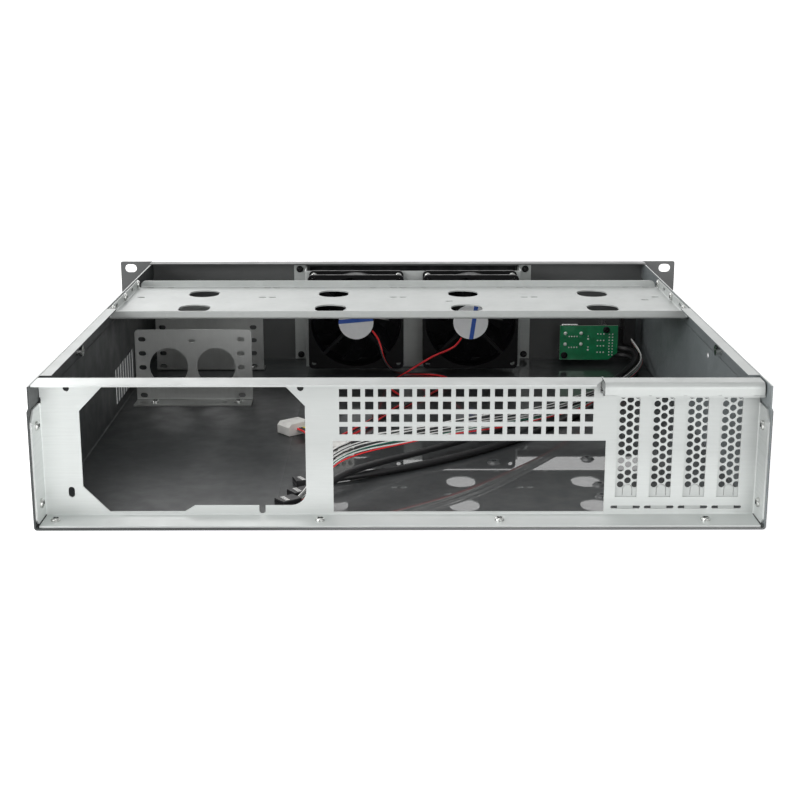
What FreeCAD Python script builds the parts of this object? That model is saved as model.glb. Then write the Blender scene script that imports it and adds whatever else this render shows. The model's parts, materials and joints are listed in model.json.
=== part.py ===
import FreeCAD, Part
import os, math
from FreeCAD import Vector as V

# 2U rackmount server case, lid off and nothing installed.  X runs across the
# case, -Y is the front panel, +Y the rear, Z is up.  The origin is on the
# underside of the floor, midway along the length.  Millimetres.
os.makedirs("parts", exist_ok=True)

# ---- overall ----------------------------------------------------------------
case_length = 450.0
body_width = 430.0
ear_span = 482.6
panel_height = 88.0
lid_gauge = 1.0
case_gauge = 1.0
panel_gauge = 1.5
inner_gauge = 1.0
bend_r = 0.8
hairline = 0.3

y_front = -case_length / 2.0
y_rear = case_length / 2.0
y_tray_front = y_front + panel_gauge
wall_top = panel_height - lid_gauge
half_body = body_width / 2.0

# ---- chassis tray -----------------------------------------------------------
joggle = 1.0
joggle_drop = 15.0
wall_flange_width = 8.0
wall_flange_rear = 27.5
front_tab_width = 6.0
front_tab_z0 = 6.0
vent_slot_w = 2.0
vent_slot_h = 27.0
vent_slot_z = 8.0
vent_pitch = 5.0
vent_count = 16
vent_back = 263.0
boss_r = 5.0
boss_h = 1.6
boss_hole_r = 1.6
insert_r = 2.6
insert_back = 131.0
insert_drop = 8.0
oval_back = 176.3
oval_z = 65.4
boss_places = [(-128.0, 140.5), (-128.5, 82.5), (-127.0, 59.5), (-64.0, 133.0)]

# ---- front panel ------------------------------------------------------------
top_fold = 14.0
ear_slot_len = 10.0
ear_slot_w = 7.0
ear_slot_span = 465.1
ear_slot_pitch = 76.2
ear_corner = 1.5
front_slot_w = 3.0
front_slot_pitch = 6.5
front_slot_ratio = 0.95

# ---- rear panel -------------------------------------------------------------
rear_inset = 22.5
rear_flange = 20.5
side_flange = 21.0
psu_x = 202.8
psu_height_z = case_gauge
psu_hole_r = 1.9
psu_cut_side = 146.5
psu_cut_low = 6.8
psu_corner_r = 9.0
io_x0 = -122.4
io_x1 = 40.0
io_z0 = 3.6
io_z1 = 48.1
grid_x = 33.6
grid_pitch = 7.66
grid_z = 54.4
grid_hole = 5.0
grid_cols = 20
grid_rows = 4
slot_edge = -141.9
slot_pitch = 20.32
slot_width = 13.0
slot_z0 = 12.9
slot_count = 4
shelf_drop = 8.5
shelf_depth = 12.0
shelf_x1 = -118.5
top_flange_x0 = -118.2
lance_z = 6.4
lance_w = 18.0
lance_h = 2.0
side_screw_z = [13.0, 60.5]
rear_floor_x = [204.9, 47.7, -59.0, -181.9]
rear_screw_out = 10.5

# ---- slot covers and their clamp --------------------------------------------
cover_width = 18.4
cover_gauge = 0.9
cover_z0 = 9.4
tongue_width = 9.4
tongue_z0 = 4.6
perf_hole = 4.0
perf_pitch = 5.0
perf_z = 20.4
perf_shift = -1.0
perf_top = 2.0
arch_w = 6.0
arch_h = 7.0
arch_z = 13.6
arch_slit = 0.3
clamp_gauge = 1.0
clamp_nose = 3.4
clamp_skirt = 6.4

# ---- drive tray -------------------------------------------------------------
tray_from_front = 81.5
tray_depth = 131.5
tray_sink = 7.0
tray_lip = 5.0
tray_side = 6.2
tray_gap = 0.3
drive_pitch = 103.0
drive_count = 4
drive_hole_span = 95.25
drive_row_gap = 44.45
small_span = 61.72
tray_hole_r = 11.8
tray_hole_long = 30.0
tray_screw_up = 3.6
tray_rows = [32.5, 94.0]
drive_row = 3.9
tray_extra_slots = [(-39.3, 65.5), (-192.0, 60.8)]
tray_tail_slots = [24.0, 18.0]

# ---- 2.5 inch drive bracket plates ------------------------------------------
plate_x0 = 114.5
plate_width = 91.0
plate_height = 57.0
plate_from_front = 148.0
plate_span = 100.0
plate_lip = 18.0
plate_hole_r = 15.0
plate_port_z = 27.4
plate_ports = [25.8, 62.8]
plate_slot_len = 5.8
plate_slot_w = 3.8
plate_rows = 5
plate_row_z = 5.4
plate_row_pitch = 11.2
plate_screw_dx = [11.0, 75.5]
plate_lip_mid = 9.5

# ---- fans -------------------------------------------------------------------
fan_size = 80.0
fan_depth = 25.0
fan_hole_pitch = 71.5
fan_z = 45.5
fan_x = [35.4, -61.0]
fan_duct_r = 37.8
fan_tip_gap = 0.8
fan_flange = 3.5
fan_corner = 4.0
fan_hub_r = 15.5
blade_count = 7
shaft_r = 1.5
shaft_clear = 0.05
label_r = 14.6
bracket_depth = 31.0
bracket_ear = 12.0
bracket_margin = 3.0
bracket_screw_edge = [5.5, 6.5]
bearing_depth = 19.0
bearing_r = 4.0
bearing_length = 17.0
filter_gauge = 2.0
filter_margin = 1.0

# ---- front panel board ------------------------------------------------------
board_x0 = -190.0
board_w = 50.0
board_z0 = 6.0
board_h = 30.0
board_gauge = 1.6
board_back = 24.4
board_plug_in = 10.0
board_plug_long = 9.2
board_plug_deep = 9.0
board_plug_half = 2.8
board_plug_z = [9.4, 3.6]
usb_w = 13.1
usb_h = 5.7
usb_x = -151.5
usb_z = [29.0, 19.0]
led_r = 1.5
led_x = -165.5
led_z = [24.5, 15.0]
button_x = -201.0
power_z = 40.0
reset_z = 24.0
power_r = 4.5
reset_r = 2.6
button_clear = 0.3
button_collar = 0.6
button_travel = 1.5
switch_side = 12.0
switch_depth = 9.0
switch_plug_depth = 9.7
switch_plug_z = 18.2

# ---- screws -----------------------------------------------------------------
screw_head_r = 2.9
screw_head_h = 1.8
screw_shank_r = 1.4
screw_clear = 0.05


# ---- helpers ----------------------------------------------------------------
def box(x0, x1, y0, y1, z0, z1):
    return Part.makeBox(x1 - x0, y1 - y0, z1 - z0, V(x0, y0, z0))


def rod(x, y, z, r, length, axis):
    return Part.makeCylinder(r, length, V(x, y, z), axis)


AX = V(1, 0, 0)
AY = V(0, 1, 0)
AZ = V(0, 0, 1)


def place(p, plane, level):
    if plane == "xz":
        return V(p[0], level, p[1])
    if plane == "yz":
        return V(level, p[0], p[1])
    return V(p[0], p[1], level)


def normal(plane):
    return {"xz": AY, "yz": AX, "xy": AZ}[plane]


def prism(points, plane, lo, hi):
    pts = [place(p, plane, lo) for p in points]
    face = Part.Face(Part.makePolygon(pts + [pts[0]]))
    return face.extrude(normal(plane) * (hi - lo))


def obround(cx, cz, length, width, plane, lo, hi, upright=False):
    # Slot with round ends; length runs along the plane's first axis.
    r = width / 2.0
    h = length / 2.0 - r
    if upright:
        a, b = (cx, cz - h), (cx, cz + h)
        s = (1, 0)
    else:
        a, b = (cx - h, cz), (cx + h, cz)
        s = (0, 1)
    p1 = (a[0] + s[0] * r, a[1] + s[1] * r)
    p2 = (a[0] - s[0] * r, a[1] - s[1] * r)
    q1 = (b[0] - s[0] * r, b[1] - s[1] * r)
    q2 = (b[0] + s[0] * r, b[1] + s[1] * r)
    d = (b[0] - a[0], b[1] - a[1])
    n = math.hypot(*d)
    e = (d[0] / n * r, d[1] / n * r)
    m1 = (a[0] - e[0], a[1] - e[1])
    m2 = (b[0] + e[0], b[1] + e[1])
    f = lambda p: place(p, plane, lo)
    edges = [Part.Arc(f(p1), f(m1), f(p2)).toShape()]
    edges.append(Part.LineSegment(f(p2), f(q1)).toShape())
    edges.append(Part.Arc(f(q1), f(m2), f(q2)).toShape())
    edges.append(Part.LineSegment(f(q2), f(p1)).toShape())
    face = Part.Face(Part.Wire(edges))
    return face.extrude(normal(plane) * (hi - lo))


def rounded(points, radii, plane, level):
    # Edges along a line of points, with an arc at each inner corner.
    edges = []
    prev = V(points[0][0], points[0][1], 0)
    for i in range(1, len(points) - 1):
        b = V(points[i][0], points[i][1], 0)
        u = (V(points[i - 1][0], points[i - 1][1], 0) - b).normalize()
        w = (V(points[i + 1][0], points[i + 1][1], 0) - b).normalize()
        ang = u.getAngle(w)
        d = radii[i - 1] / math.tan(ang / 2.0)
        c = (u + w).normalize()
        mid = b + c * (radii[i - 1] / math.sin(ang / 2.0) - radii[i - 1])
        p1 = b + u * d
        p2 = b + w * d
        seg = [place((q.x, q.y), plane, level) for q in (prev, p1, mid, p2)]
        if (seg[1] - seg[0]).Length > 1e-6:
            edges.append(Part.LineSegment(seg[0], seg[1]).toShape())
        edges.append(Part.Arc(seg[1], seg[2], seg[3]).toShape())
        prev = p2
    end = place(points[-1], plane, level)
    edges.append(Part.LineSegment(place((prev.x, prev.y), plane, level), end).toShape())
    return edges


def offset(points, t):
    # Line of points moved by t to the right of its own direction.
    out = []
    for i, p in enumerate(points):
        dirs = []
        if i > 0:
            dirs.append((p[0] - points[i - 1][0], p[1] - points[i - 1][1]))
        if i < len(points) - 1:
            dirs.append((points[i + 1][0] - p[0], points[i + 1][1] - p[1]))
        ns = []
        for d in dirs:
            n = math.hypot(*d)
            ns.append((d[1] / n, -d[0] / n))
        if len(ns) == 1:
            out.append((p[0] + ns[0][0] * t, p[1] + ns[0][1] * t))
            continue
        k = t / (1.0 + ns[0][0] * ns[1][0] + ns[0][1] * ns[1][1])
        out.append((p[0] + (ns[0][0] + ns[1][0]) * k, p[1] + (ns[0][1] + ns[1][1]) * k))
    return out


def folded(points, gauge, plane, lo, hi, r=bend_r):
    # Folded sheet: the points follow its left face, the metal lies to the right.
    left = []
    right = []
    for i in range(1, len(points) - 1):
        a, b, c = points[i - 1], points[i], points[i + 1]
        turn = (b[0] - a[0]) * (c[1] - b[1]) - (b[1] - a[1]) * (c[0] - b[0])
        left.append(r + gauge if turn < 0 else r)
        right.append(r if turn < 0 else r + gauge)
    inner = offset(points, gauge)
    edges = rounded(points, left, plane, lo)
    edges.append(Part.LineSegment(place(points[-1], plane, lo), place(inner[-1], plane, lo)).toShape())
    edges += rounded(inner[::-1], right[::-1], plane, lo)
    edges.append(Part.LineSegment(place(inner[0], plane, lo), place(points[0], plane, lo)).toShape())
    face = Part.Face(Part.Wire(Part.__sortEdges__(edges)))
    return face.extrude(normal(plane) * (hi - lo))


def cut(shape, tools):
    return shape.cut(Part.makeCompound(tools))


def fuse(shapes):
    s = shapes[0].fuse(shapes[1:]) if len(shapes) > 1 else shapes[0]
    return s.removeSplitter()


def save(name, shape):
    shape.exportStep("parts/" + name + ".step")
    print(name, len(shape.Solids), round(shape.Volume, 1), shape.isValid())


def screw(x, y, z, axis, grip):
    # Pan head screw: the seat of its head is at the point, its head along the axis.
    p = V(x, y, z)
    head_r, head_h, shank_r = screw_head_r, screw_head_h, screw_shank_r
    head = Part.makeCylinder(head_r, head_h, p, axis)
    rim = [e for e in head.Edges if abs((e.CenterOfMass - p).dot(axis) - head_h) < 1e-6]
    head = head.makeChamfer(head_h * 0.35, [e for e in rim if e.Curve.TypeId == "Part::GeomCircle"])
    shank = Part.makeCylinder(shank_r, grip, p - axis * grip, axis)
    return head.fuse(shank).removeSplitter()


# ---- derived places ---------------------------------------------------------
joggle_z = wall_top - joggle_drop
insert_z = wall_top - insert_drop
shelf_z = wall_top - shelf_drop
boss_points = [(x, y_rear - back) for x, back in boss_places]
tray_y0 = y_front + tray_from_front
tray_y1 = tray_y0 + tray_depth
tray_pan_z = wall_top - tray_sink
drive_row_y = tray_y0 + drive_row
plate_rear_y = y_front + plate_from_front
perf_rows = int((shelf_z - perf_top - perf_z) / perf_pitch) + 1
rear_face = y_rear - rear_inset
rear_inner = rear_face - inner_gauge
wall_in = half_body - case_gauge
top_in = half_body - joggle - case_gauge
floor_z = case_gauge
fan_near = y_front + panel_gauge + bracket_depth + inner_gauge + fan_depth
fan_far = fan_near - fan_depth
plate_face = fan_far
board_rear = y_front + panel_gauge + board_back + board_gauge
board_front = board_rear - board_gauge
screw_hole_r = screw_shank_r + screw_clear
panel_back = y_front + panel_gauge


# ---- chassis tray -----------------------------------------------------------
def chassis_tray():
    path = [(-(half_body - joggle), wall_top), (-(half_body - joggle), joggle_z + 2.0)]
    path += [(-half_body, joggle_z), (-half_body, 0.0), (half_body, 0.0), (half_body, joggle_z)]
    path += [(half_body - joggle, joggle_z + 2.0), (half_body - joggle, wall_top)]
    body = folded(path[::-1], case_gauge, "xz", y_tray_front, y_rear)
    parts = [body]
    y0 = tray_y1 + 1.0
    y1 = y_rear - wall_flange_rear
    for s in (1, -1):
        lip = [(s * (half_body - joggle), joggle_z + 6.0), (s * (half_body - joggle), wall_top)]
        lip.append((s * (half_body - joggle - wall_flange_width), wall_top))
        parts.append(folded(lip if s < 0 else lip[::-1], case_gauge, "xz", y0, y1))
        parts.append(box(min(s * wall_in, s * (wall_in - front_tab_width)) if s > 0 else -wall_in - 0.2,
                         wall_in + 0.2 if s > 0 else -wall_in + front_tab_width,
                         y_tray_front, y_tray_front + case_gauge, front_tab_z0, joggle_z - 2.0))
    for x, y in boss_points:
        parts.append(Part.makeCone(boss_r, boss_r - boss_h, boss_h + 0.2, V(x, y, floor_z - 0.2), AZ))
    tray = fuse(parts)
    # the walls end just short of the front panel's bend
    tools = [box(-half_body - 1, half_body + 1, y_tray_front - 1, y_tray_front + bend_r, wall_top - bend_r, wall_top + 1)]
    for k in range(vent_count):
        y = y_rear - vent_back - k * vent_pitch
        tools.append(box(wall_in - 3, half_body + 3, y - vent_slot_w / 2, y + vent_slot_w / 2,
                         vent_slot_z, vent_slot_z + vent_slot_h))
    for x, y in boss_points:
        tools.append(rod(x, y, -1, boss_hole_r, 8, AZ))
    for s in (1, -1):
        tools.append(rod(s * (half_body - 5) - 5, insert_y, insert_z, insert_r, 10, AX))
    tools.append(obround(oval_y, oval_z, 7.0, 3.4, "yz", -half_body - 2, -half_body + 4))
    for x, y in floor_screws:
        tools.append(rod(x, y, -1, screw_hole_r, 4, AZ))
    for s in (1, -1):
        for z in side_screw_z:
            tools.append(rod(s * (half_body - 3) - 4, rear_screw_y, z, screw_hole_r, 8, AX))
        for y in tray_screw_y:
            tools.append(rod(s * (half_body - 3) - 4, y, tray_screw_z, screw_hole_r, 8, AX))
    return cut(tray, tools)


insert_y = y_rear - insert_back
oval_y = y_rear - oval_back
rear_screw_y = rear_face + rear_screw_out
floor_screws = [(x, rear_face + rear_screw_out) for x in rear_floor_x]
floor_screws += [(plate_x0 + d, plate_rear_y + plate_lip_mid) for d in plate_screw_dx]
floor_screws += [(plate_x0 + d, plate_rear_y - plate_span - plate_lip_mid) for d in plate_screw_dx]
tray_screw_y = [tray_y0 + 9.0, (tray_y0 + tray_y1) / 2.0 + 1.0, tray_y1 - 14.0]
tray_screw_z = tray_pan_z + tray_screw_up


# ---- front panel ------------------------------------------------------------
def front_panel():
    plate = box(-ear_span / 2, ear_span / 2, y_front, panel_back, 0, panel_height)
    corners = [e for e in plate.Edges if e.Length < panel_gauge + 1e-6]
    plate = plate.makeFillet(ear_corner, corners)
    prof = [(y_front, panel_height - 12.0), (y_front, panel_height), (y_front + top_fold, panel_height)]
    fold = folded(prof, lid_gauge, "yz", -half_body + 1.0, half_body - 1.0)
    trim = box(-half_body + 1.0, half_body - 1.0, y_front - 1, panel_back + 1, panel_height - 3.0, panel_height + 1)
    body = fuse([plate.cut(trim), fold, box(-half_body + 1.0, half_body - 1.0, y_front, panel_back,
                                            panel_height - 12.0, panel_height - 3.0)])
    tools = []
    for s in (1, -1):
        for k in (1, -1):
            tools.append(obround(s * ear_slot_span / 2, panel_height / 2 + k * ear_slot_pitch / 2,
                                 ear_slot_len, ear_slot_w, "xz", y_front - 1, panel_back + 1))
    for cx in fan_x:
        n = int(fan_duct_r * front_slot_ratio / front_slot_pitch)
        for k in range(-n, n + 1):
            half = math.sqrt((fan_duct_r * front_slot_ratio) ** 2 - (k * front_slot_pitch) ** 2)
            tools.append(box(cx - half, cx + half, y_front - 1, panel_back + 1,
                             fan_z + k * front_slot_pitch - front_slot_w / 2,
                             fan_z + k * front_slot_pitch + front_slot_w / 2))
    for z in usb_z:
        tools.append(box(usb_x - usb_w / 2 - hairline, usb_x + usb_w / 2 + hairline, y_front - 1, panel_back + 1,
                         z - usb_h / 2 - hairline, z + usb_h / 2 + hairline))
    for z in led_z:
        tools.append(rod(led_x, y_front - 1, z, led_r + 0.1, 4, AY))
    tools.append(rod(button_x, y_front - 1, power_z, power_r + button_clear, 4, AY))
    tools.append(rod(button_x, y_front - 1, reset_z, reset_r + button_clear, 4, AY))
    for x, z in bracket_screws:
        tools.append(rod(x, y_front - 1, z, screw_hole_r, 4, AY))
    for x, z in board_screws:
        tools.append(rod(x, y_front - 1, z, screw_hole_r, 4, AY))
    return cut(body, tools)


bracket_x0 = min(fan_x) - fan_size / 2 - bracket_margin
bracket_x1 = max(fan_x) + fan_size / 2 + bracket_margin
bracket_screw_z = [bracket_screw_edge[0], panel_height - bracket_screw_edge[1]]
bracket_screw_x = [bracket_x0 - bracket_ear / 2 - 1, bracket_x1 + bracket_ear / 2 + 1]
bracket_screws = [(x, z) for x in bracket_screw_x for z in bracket_screw_z]
board_screws = [(board_x0 + 10.0, board_z0 + board_h - 3.6), (board_x0 + board_w - 4.0, board_z0 + 4.0)]


# ---- rear panel -------------------------------------------------------------
def psu_cutout():
    # Power supply opening, measured from the supply's lower outer corner.
    pts = [(13.0, 18.8), (28.4, 3.0), (73.3, 3.0), (79.5, 6.8)]
    side, low, r = psu_cut_side, psu_cut_low, psu_corner_r
    for k in range(7):
        a = math.radians(90.0 / 6 * k)
        pts.append((side - r + r * math.sin(a), low + r - r * math.cos(a)))
    pts += [(side, 68.6), (133.8, 82.0), (28.6, 82.0), (13.0, 65.6)]
    return [(psu_x - a, psu_height_z + b) for a, b in pts]


def rear_panel():
    z0 = floor_z
    inner = half_body - case_gauge - 0.05
    plate = box(-inner + 2, inner - 2, rear_inner, rear_face, z0 + 1.5, wall_top - 1.5)
    slot_zone = box(-inner - 1, shelf_x1 + hairline, rear_inner - 1, rear_face + 1, shelf_z - 1.5, wall_top + 1)
    plate = plate.cut(slot_zone)
    bottom = [(rear_inner, z0 + 12.0), (rear_inner, z0), (rear_face + rear_flange, z0)]
    top = [(rear_inner, wall_top - 12.0), (rear_inner, wall_top), (rear_face + rear_flange - 1.0, wall_top)]
    shelf = [(rear_inner, shelf_z - 8.0), (rear_inner, shelf_z), (rear_face + shelf_depth, shelf_z)]
    parts = [plate]
    parts.append(folded(bottom[::-1], inner_gauge, "yz", -inner + 1.6, inner - 1.6))
    parts.append(folded(top, inner_gauge, "yz", top_flange_x0, inner - joggle - 0.3))
    parts.append(folded(shelf, inner_gauge, "yz", -top_in + 0.3, shelf_x1))
    for s in (1, -1):
        side = [(s * (inner - 12.0), rear_inner), (s * inner, rear_inner), (s * inner, rear_face + side_flange)]
        wing = folded(side if s < 0 else side[::-1], inner_gauge, "xy", z0 + 1.4, joggle_z - 0.6)
        y1 = rear_face + side_flange
        lo, hi = s * half_body - 8, s * half_body + 8
        head = prism([(y1 + 1, joggle_z - 8.0), (y1 + 1, joggle_z), (y1 - 7.0, joggle_z)], "yz", lo, hi)
        foot = prism([(y1 + 1, z0), (y1 + 1, z0 + 6.0), (y1 - 5.0, z0)], "yz", lo, hi)
        parts.append(wing.cut(head.fuse(foot)))
    body = fuse(parts)
    lo, hi = rear_inner - 2, rear_face + 2
    tools = [prism(psu_cutout(), "xz", lo, hi)]
    tools.append(obround(psu_x - 120.0, psu_height_z + 5.6, 8.0, 3.8, "xz", lo, hi, True))
    tools.append(rod(psu_x - 6.0, lo, psu_height_z + 79.4, psu_hole_r, 6, AY))
    tools.append(rod(psu_x - 144.0, lo, psu_height_z + 79.4, psu_hole_r, 6, AY))
    tools.append(obround(psu_x - 6.0, psu_height_z + 15.4, 6.6, 3.8, "xz", lo, hi, True))
    tools.append(box(io_x0, io_x1, lo, hi, io_z0, io_z1))
    for c in range(grid_cols):
        for r in range(grid_rows):
            x = grid_x - c * grid_pitch
            z = grid_z + r * grid_pitch
            tools.append(box(x - grid_hole / 2, x + grid_hole / 2, lo, hi, z - grid_hole / 2, z + grid_hole / 2))
    for k in range(slot_count):
        x1 = slot_edge + slot_width - k * slot_pitch
        tools.append(box(x1 - slot_width, x1, lo, hi, slot_z0, shelf_z - inner_gauge - 0.6))
        tools.append(obround(x1 - slot_width / 2, lance_z, lance_w, lance_h, "xz", lo, hi))
    for x, y in floor_screws[:len(rear_floor_x)]:
        tools.append(rod(x, y, -1, screw_hole_r, 6, AZ))
    for s in (1, -1):
        for z in side_screw_z:
            tools.append(rod(s * (half_body - 3) - 4, rear_screw_y, z, screw_hole_r, 8, AX))
    # end of the top flange beside the slots is cut on a slant
    tools.append(prism([(top_flange_x0 - 1, rear_face + 4.0), (top_flange_x0 - 1, rear_face + rear_flange + 1),
                        (top_flange_x0 + 6.0, rear_face + rear_flange + 1)], "xy", wall_top - 3, wall_top + 1))
    return cut(body, tools)


def slot_cover(k):
    cx = slot_edge + slot_width / 2 - k * slot_pitch
    y1 = rear_inner
    y0 = y1 - cover_gauge
    w = cover_width / 2
    tab = [(y0, shelf_z - 8.0), (y0, shelf_z + cover_gauge), (rear_face + shelf_depth, shelf_z + cover_gauge)]
    top = folded(tab, cover_gauge, "yz", cx - w, cx + w)
    outline = [(cx - w, cover_z0 + 4.0), (cx - tongue_width / 2, cover_z0), (cx - tongue_width / 2, tongue_z0)]
    outline += [(cx + tongue_width / 2, tongue_z0), (cx + tongue_width / 2, cover_z0), (cx + w, cover_z0 + 4.0)]
    outline += [(cx + w, shelf_z - 4.0), (cx - w, shelf_z - 4.0)]
    body = fuse([prism(outline, "xz", y0, y1), top])
    tools = []
    step = perf_pitch * math.sqrt(3.0) / 2.0
    for col in (-1, 0, 1):
        rows = perf_rows if col else perf_rows - 1
        z = perf_z if col else perf_z + perf_pitch / 2
        for r in range(rows):
            x = cx + perf_shift + col * step
            tools.append(rod(x, y0 - 1, z + r * perf_pitch, perf_hole / 2, cover_gauge + 2, AY))
    # arched spring tab, slit round its top and sides
    ax = cx + perf_shift
    outer = arch(ax, arch_w, arch_h, y0 - 1, y1 + 1)
    inner = arch(ax, arch_w - 2 * arch_slit, arch_h - arch_slit, y0 - 2, y1 + 2)
    tools.append(outer.cut(inner))
    return cut(body, tools)


def arch(x, width, height, lo, hi):
    r = width / 2
    top = rod(x, lo, arch_z + height - r, r, hi - lo, AY)
    return box(x - r, x + r, lo, hi, arch_z, arch_z + height - r).fuse(top)


def slot_clamp_bar():
    z0 = shelf_z + cover_gauge
    y1 = rear_face + shelf_depth + 1.2
    prof = [(rear_inner - 3.0, wall_top - 6.0), (rear_inner - 3.0, wall_top - 0.6), (y1, wall_top - 0.6), (y1, z0 - 0.4)]
    bar = folded(prof, clamp_gauge, "yz", -top_in + 1.0, shelf_x1 - 0.5, clamp_nose - clamp_gauge)
    foot = box(-top_in + 1.0, shelf_x1 - 0.5, rear_face + 4.0, y1 - clamp_gauge, z0, z0 + 0.9)
    return fuse([bar, foot])


# ---- drive tray -------------------------------------------------------------
def drive_centres():
    return [(k - (drive_count - 1) / 2.0) * drive_pitch for k in range(drive_count)]


def drive_tray():
    x1 = top_in - tray_gap
    z = tray_pan_z
    inset = 2.5
    side = [(-x1, z + tray_side), (-x1, z - inner_gauge), (x1, z - inner_gauge), (x1, z + tray_side)]
    pan = folded(side[::-1], inner_gauge, "xz", tray_y0 + 3.0, tray_y1 - 3.0)
    front = [(tray_y0, z + tray_lip), (tray_y0, z - inner_gauge), (tray_y0 + 8.0, z - inner_gauge)]
    rear = [(tray_y1, z + tray_lip), (tray_y1, z - inner_gauge), (tray_y1 - 8.0, z - inner_gauge)]
    lips = [folded(front[::-1], inner_gauge, "yz", -x1 + inset, x1 - inset)]
    lips.append(folded(rear, inner_gauge, "yz", -x1 + inset, x1 - inset))
    for i, y in enumerate((tray_y0, tray_y1)):
        for s in (1, -1):
            near = box(s * (x1 - inset) - 4, s * (x1 - inset) + 4, y - 3, y + 3, z + tray_lip - 4, z + tray_lip + 1)
            keep = Part.makeCylinder(4.0, 8, V(s * (x1 - inset - 4.0), y - 4, z + tray_lip - 4.0), AY)
            near = near.common(box(s * (x1 - inset - 4.0) if s > 0 else -x1 + inset, x1 - inset if s > 0
                                   else -(x1 - inset - 4.0), y - 3, y + 3, z + tray_lip - 4, z + tray_lip + 1))
            lips[i] = lips[i].cut(near.cut(keep))
    body = fuse([pan] + lips)
    tools = []
    for cx in drive_centres():
        for y in tray_rows:
            tools.append(obround(cx, tray_y0 + y, tray_hole_long, 2 * tray_hole_r, "xy", z - 3, z + 3, True))
        for s in (1, -1):
            for dy in (0.0, drive_row_gap):
                tools.append(obround(cx + s * drive_hole_span / 2, drive_row_y + dy, 6.0, 3.4, "xy", z - 3, z + 2))
            tools.append(obround(cx + s * small_span / 2, drive_row_y, 5.0, 3.0, "xy", z - 3, z + 2))
    for x, y in tray_extra_slots:
        tools.append(obround(x, tray_y0 + y, 6.0, 3.4, "xy", z - 3, z + 2))
    for s in (1, -1):
        for y in tray_screw_y:
            tools.append(rod(s * (half_body - 3) - 4, y, tray_screw_z, screw_hole_r, 8, AX))
        for y in (tray_screw_y[0] + tray_tail_slots[0], tray_screw_y[2] - tray_tail_slots[1]):
            tools.append(obround(y, z + 3.4, 7.0, 2.6, "yz", s * half_body - 5, s * half_body + 5))
    return cut(body, tools)


# ---- 2.5 inch drive bracket plates ------------------------------------------
def drive_plate(y, way, ports):
    # Upright plate with its foot folded along Y towards the given way.
    z0 = floor_z
    prof = [(y, z0 + plate_height), (y, z0), (y + way * plate_lip, z0)]
    plate = folded(prof[::-1] if way > 0 else prof, inner_gauge, "yz", plate_x0, plate_x0 + plate_width)
    x1 = plate_x0 + plate_width
    tools = []
    for r in range(plate_rows):
        for x in (x1 - 5.5, x1 - 82.5):
            tools.append(obround(x, z0 + plate_row_z - 1 + r * plate_row_pitch, plate_slot_len, plate_slot_w,
                                 "xz", y - 3, y + 3))
    for x in ports:
        tools.append(rod(x1 - x, y - 3, z0 + plate_port_z, plate_hole_r, 6, AY))
    tools.append(obround(x1 - 44.3, z0 + 48.0, 5.0, 2.6, "xz", y - 3, y + 3))
    for d in plate_screw_dx:
        tools.append(rod(plate_x0 + d, y + way * plate_lip_mid, z0 - 1, screw_hole_r, 4, AZ))
    for x in (x1 - 4.5, x1 - 70.0):
        tools.append(obround(x, y + way * plate_lip_mid, 4.0, 2.2, "xy", z0 - 1, z0 + 3))
    ends = [e for e in plate.Edges if abs(e.Length - inner_gauge) < 1e-4 and e.CenterOfMass.z > z0 + plate_height - 1]
    plate = plate.makeFillet(3.0, ends)
    return cut(plate, tools)


# ---- fan bracket and fans ---------------------------------------------------
def fan_bracket():
    # One plate behind both fans, its ends folded forward to the panel and out.
    g = inner_gauge
    y0, y1 = panel_back, fan_far - g
    x0, x1 = bracket_x0, bracket_x1
    path = [(x0 - bracket_ear, y0), (x0, y0), (x0, y1), (x1, y1), (x1, y0), (x1 + bracket_ear, y0)]
    z0 = fan_z - fan_size / 2 - 4.0
    z1 = fan_z + fan_size / 2 - 0.7
    body = folded(path[::-1], g, "xy", z0, z1)
    tools = []
    for cx in fan_x:
        tools.append(rod(cx, y1 - 3, fan_z, fan_duct_r + 0.4, 6, AY))
        for sx in (1, -1):
            for sz in (1, -1):
                tools.append(rod(cx + sx * fan_hole_pitch / 2, y1 - 3, fan_z + sz * fan_hole_pitch / 2, screw_hole_r, 6, AY))
    for x, z in bracket_screws:
        tools.append(rod(x, y0 - 2, z, screw_hole_r, 6, AY))
    return cut(body, tools)


def fan_frame(cx):
    h = fan_size / 2
    y0, y1 = fan_far, fan_near
    out = []
    for a in (y0, y1 - fan_flange):
        f = box(cx - h, cx + h, a, a + fan_flange, fan_z - h, fan_z + h)
        f = f.makeFillet(fan_corner, [e for e in f.Edges if abs(e.Length - fan_flange) < 1e-4])
        out.append(f)
    out.append(rod(cx, y0, fan_z, fan_duct_r + 1.4, y1 - y0, AY))
    body = out[0].fuse(out[1:]).cut(rod(cx, y0 - 1, fan_z, fan_duct_r, fan_depth + 2, AY))
    hub = rod(cx, y1 - 4.0, fan_z, fan_hub_r, 3.6, AY)
    tube = rod(cx, y1 - bearing_depth - 1.0, fan_z, bearing_r, bearing_length, AY)
    arms = []
    for k in range(4):
        arm = box(fan_hub_r - 1.5, fan_duct_r + 0.8, -1.4, 1.4, -3.4, -0.4)
        arm.rotate(V(0, 0, 0), AX, 90)
        arm.rotate(V(0, 0, 0), AY, 45 + 90 * k)
        arm.translate(V(cx, 0, fan_z))
        b = arm.BoundBox
        arm.translate(V(0, y1 - 0.4 - b.YMax, 0))
        arms.append(arm)
    body = body.fuse([hub, tube] + arms).removeSplitter()
    tools = [rod(cx, y1 - bearing_depth - 2.0, fan_z, shaft_r + shaft_clear, bearing_depth, AY)]
    for sx in (1, -1):
        for sz in (1, -1):
            tools.append(rod(cx + sx * fan_hole_pitch / 2, y0 - 1, fan_z + sz * fan_hole_pitch / 2, 2.0, fan_depth + 2, AY))
    return cut(body, tools)


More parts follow.
